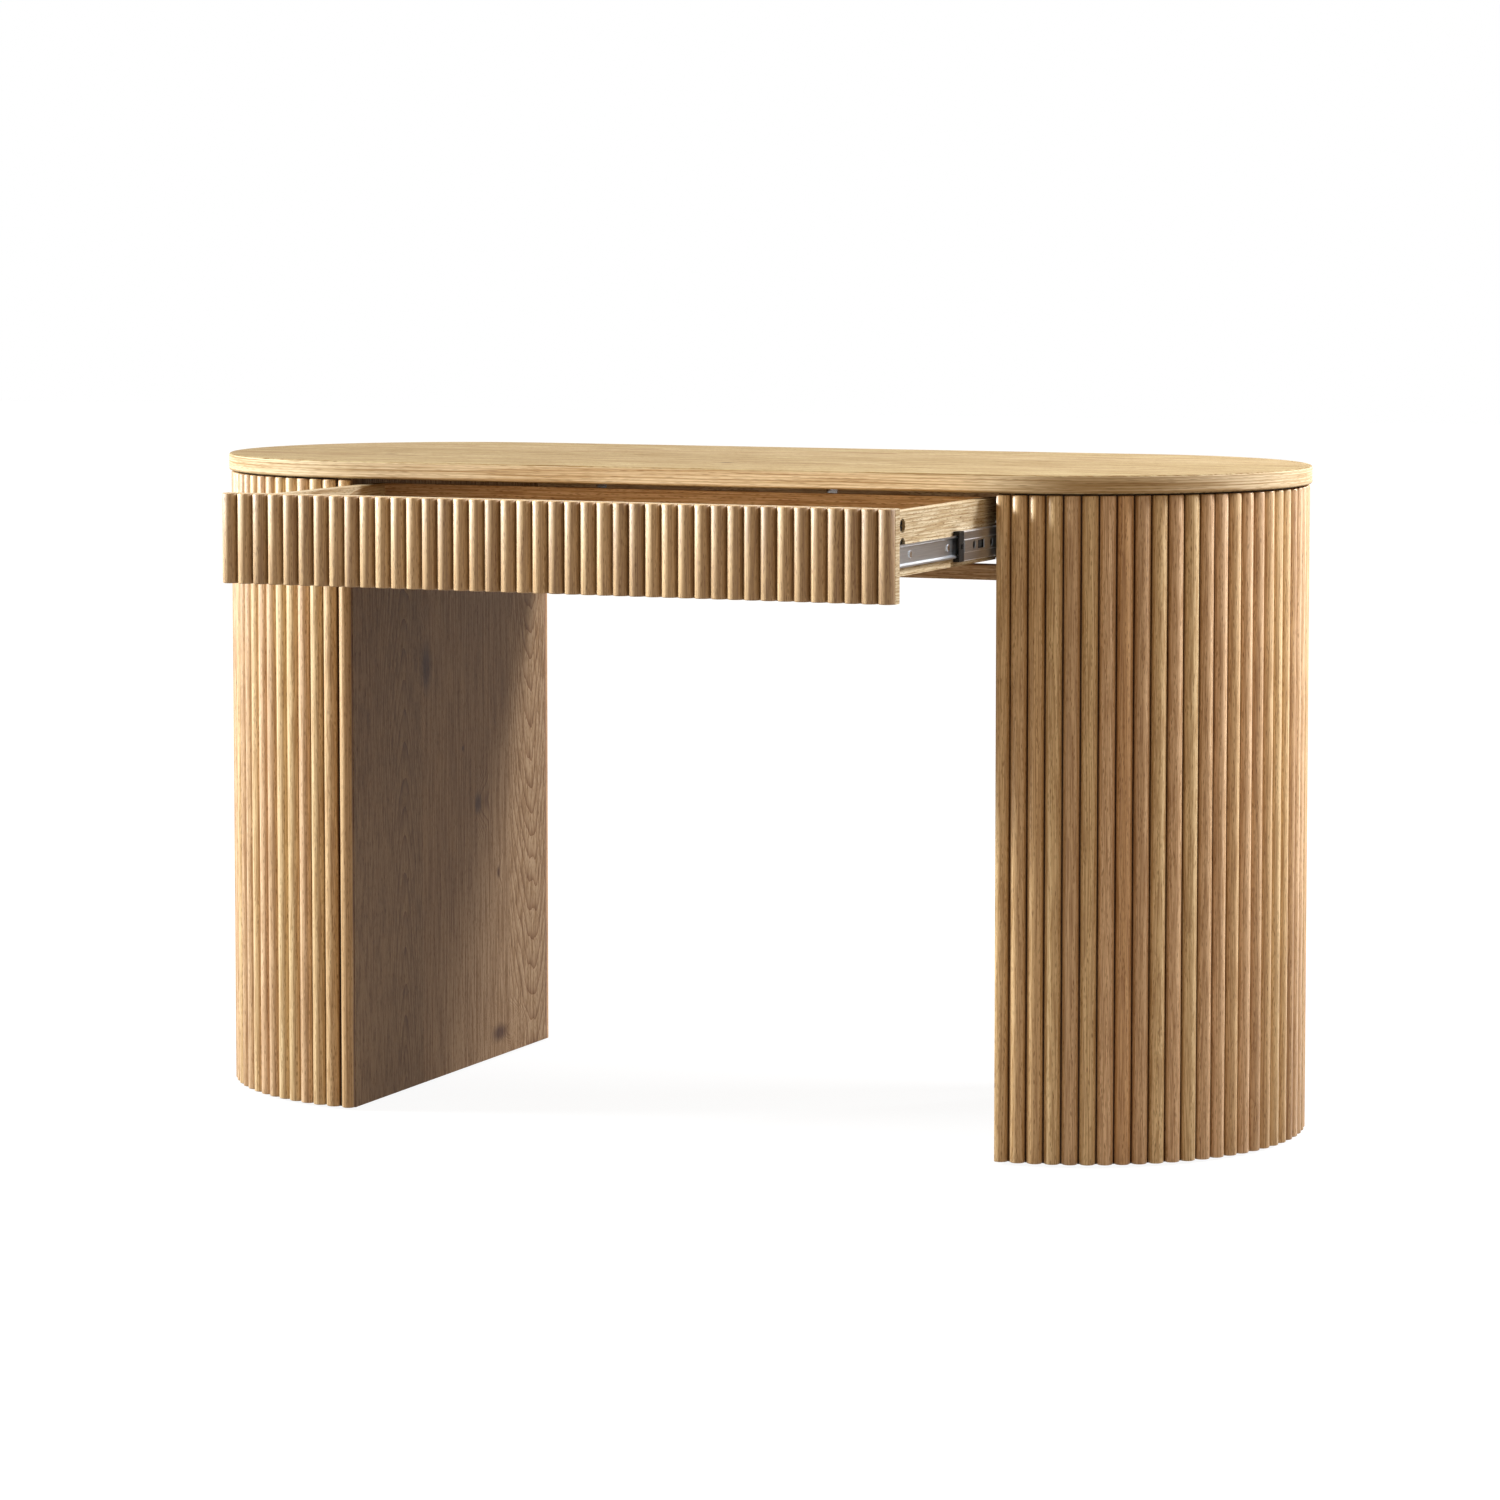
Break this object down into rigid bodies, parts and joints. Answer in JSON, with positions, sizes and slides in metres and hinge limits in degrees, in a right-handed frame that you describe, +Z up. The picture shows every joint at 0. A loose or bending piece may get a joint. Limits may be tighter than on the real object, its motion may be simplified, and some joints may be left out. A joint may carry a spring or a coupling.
{
  "type": "reeded oval desk",
  "caption": "Oval oak desk on reeded half-round pedestals, with a wide reeded drawer that pulls out on telescopic ball-bearing slides.",
  "frame": {"origin": "on the floor under the middle of the opened desk's bounding box", "axes": "+X to the sitter's right along the top, +Y to the back, away from the drawer front, +Z up"},
  "size_m": [1.32, 0.8274, 0.753],
  "materials": {
    "oak_veneer": "natural oak veneer under satin lacquer",
    "oak_slats": "solid oak half-round, satin lacquer",
    "drawer_oak": "pale oak-faced board, satin",
    "drawer_bottom_board": "thin oak-faced fibreboard",
    "bent_plywood": "bent plywood, unfinished",
    "former_board": "fibreboard, unfinished",
    "beech_dowels": "fluted beech, unfinished",
    "slide_steel": "zinc-plated cold-rolled steel",
    "retainer_steel": "zinc-plated sheet steel",
    "zinc_fittings": "zinc-plated fittings",
    "stop_plastic": "black moulded acetal",
    "glide_plastic": "brown moulded polyethylene"
  },
  "bodies": {
    "carcass": {"desktop": "oak_veneer", "back_apron": "oak_veneer", "front_rail": "oak_veneer", "apron_dowels": "beech_dowels", "rail_dowels": "beech_dowels", "apron_cams": "zinc_fittings", "apron_cam_dowels": "zinc_fittings", "left_inner_panel": "oak_veneer", "left_curved_backing": "bent_plywood", "left_bottom_former": "former_board", "left_top_former": "former_board", "left_former_dowels": "beech_dowels", "left_top_screws": "zinc_fittings", "left_glides": "glide_plastic", "left_slats": "oak_slats", "left_cabinet_slide": "slide_steel", "left_cabinet_screws": "zinc_fittings", "right_inner_panel": "oak_veneer", "right_curved_backing": "bent_plywood", "right_bottom_former": "former_board", "right_top_former": "former_board", "right_former_dowels": "beech_dowels", "right_top_screws": "zinc_fittings", "right_glides": "glide_plastic", "right_slats": "oak_slats", "right_cabinet_slide": "slide_steel", "right_cabinet_screws": "zinc_fittings"},
    "drawer": {"drawer_front_board": "oak_veneer", "drawer_front_slats": "oak_slats", "drawer_left_side": "drawer_oak", "drawer_right_side": "drawer_oak", "drawer_left_cams": "zinc_fittings", "drawer_right_cams": "zinc_fittings", "drawer_back": "drawer_oak", "drawer_back_dowels": "beech_dowels", "drawer_bottom": "drawer_bottom_board", "drawer_cam_dowels": "zinc_fittings", "left_drawer_slide": "slide_steel", "left_drawer_screws": "zinc_fittings", "right_drawer_slide": "slide_steel", "right_drawer_screws": "zinc_fittings"},
    "left_slide_middle": {"left_middle_slide": "slide_steel", "left_slide_stop": "stop_plastic"},
    "left_outer_cage": {"left_outer_retainer": "retainer_steel"},
    "left_inner_cage": {"left_inner_retainer": "retainer_steel"},
    "right_slide_middle": {"right_middle_slide": "slide_steel", "right_slide_stop": "stop_plastic"},
    "right_outer_cage": {"right_outer_retainer": "retainer_steel"},
    "right_inner_cage": {"right_inner_retainer": "retainer_steel"}
  },
  "joints": [
    {"name": "drawer_travel", "type": "slide", "parent": "carcass", "child": "drawer", "axis": [0, -1, 0], "range_m": [-0.3, 0]},
    {"name": "left_slide_middle_travel", "type": "slide", "parent": "carcass", "child": "left_slide_middle", "axis": [0, -1, 0], "range_m": [-0.15, 0]},
    {"name": "left_outer_cage_travel", "type": "slide", "parent": "carcass", "child": "left_outer_cage", "axis": [0, -1, 0], "range_m": [-0.075, 0]},
    {"name": "left_inner_cage_travel", "type": "slide", "parent": "carcass", "child": "left_inner_cage", "axis": [0, -1, 0], "range_m": [-0.225, 0]},
    {"name": "right_slide_middle_travel", "type": "slide", "parent": "carcass", "child": "right_slide_middle", "axis": [0, -1, 0], "range_m": [-0.15, 0]},
    {"name": "right_outer_cage_travel", "type": "slide", "parent": "carcass", "child": "right_outer_cage", "axis": [0, -1, 0], "range_m": [-0.075, 0]},
    {"name": "right_inner_cage_travel", "type": "slide", "parent": "carcass", "child": "right_inner_cage", "axis": [0, -1, 0], "range_m": [-0.225, 0]}
  ],
  "couplings": [
    {"joint": "left_slide_middle_travel", "follows": "drawer_travel", "ratio": 0.5},
    {"joint": "left_outer_cage_travel", "follows": "drawer_travel", "ratio": 0.25},
    {"joint": "left_inner_cage_travel", "follows": "drawer_travel", "ratio": 0.75},
    {"joint": "right_slide_middle_travel", "follows": "drawer_travel", "ratio": 0.5},
    {"joint": "right_outer_cage_travel", "follows": "drawer_travel", "ratio": 0.25},
    {"joint": "right_inner_cage_travel", "follows": "drawer_travel", "ratio": 0.75}
  ]
}
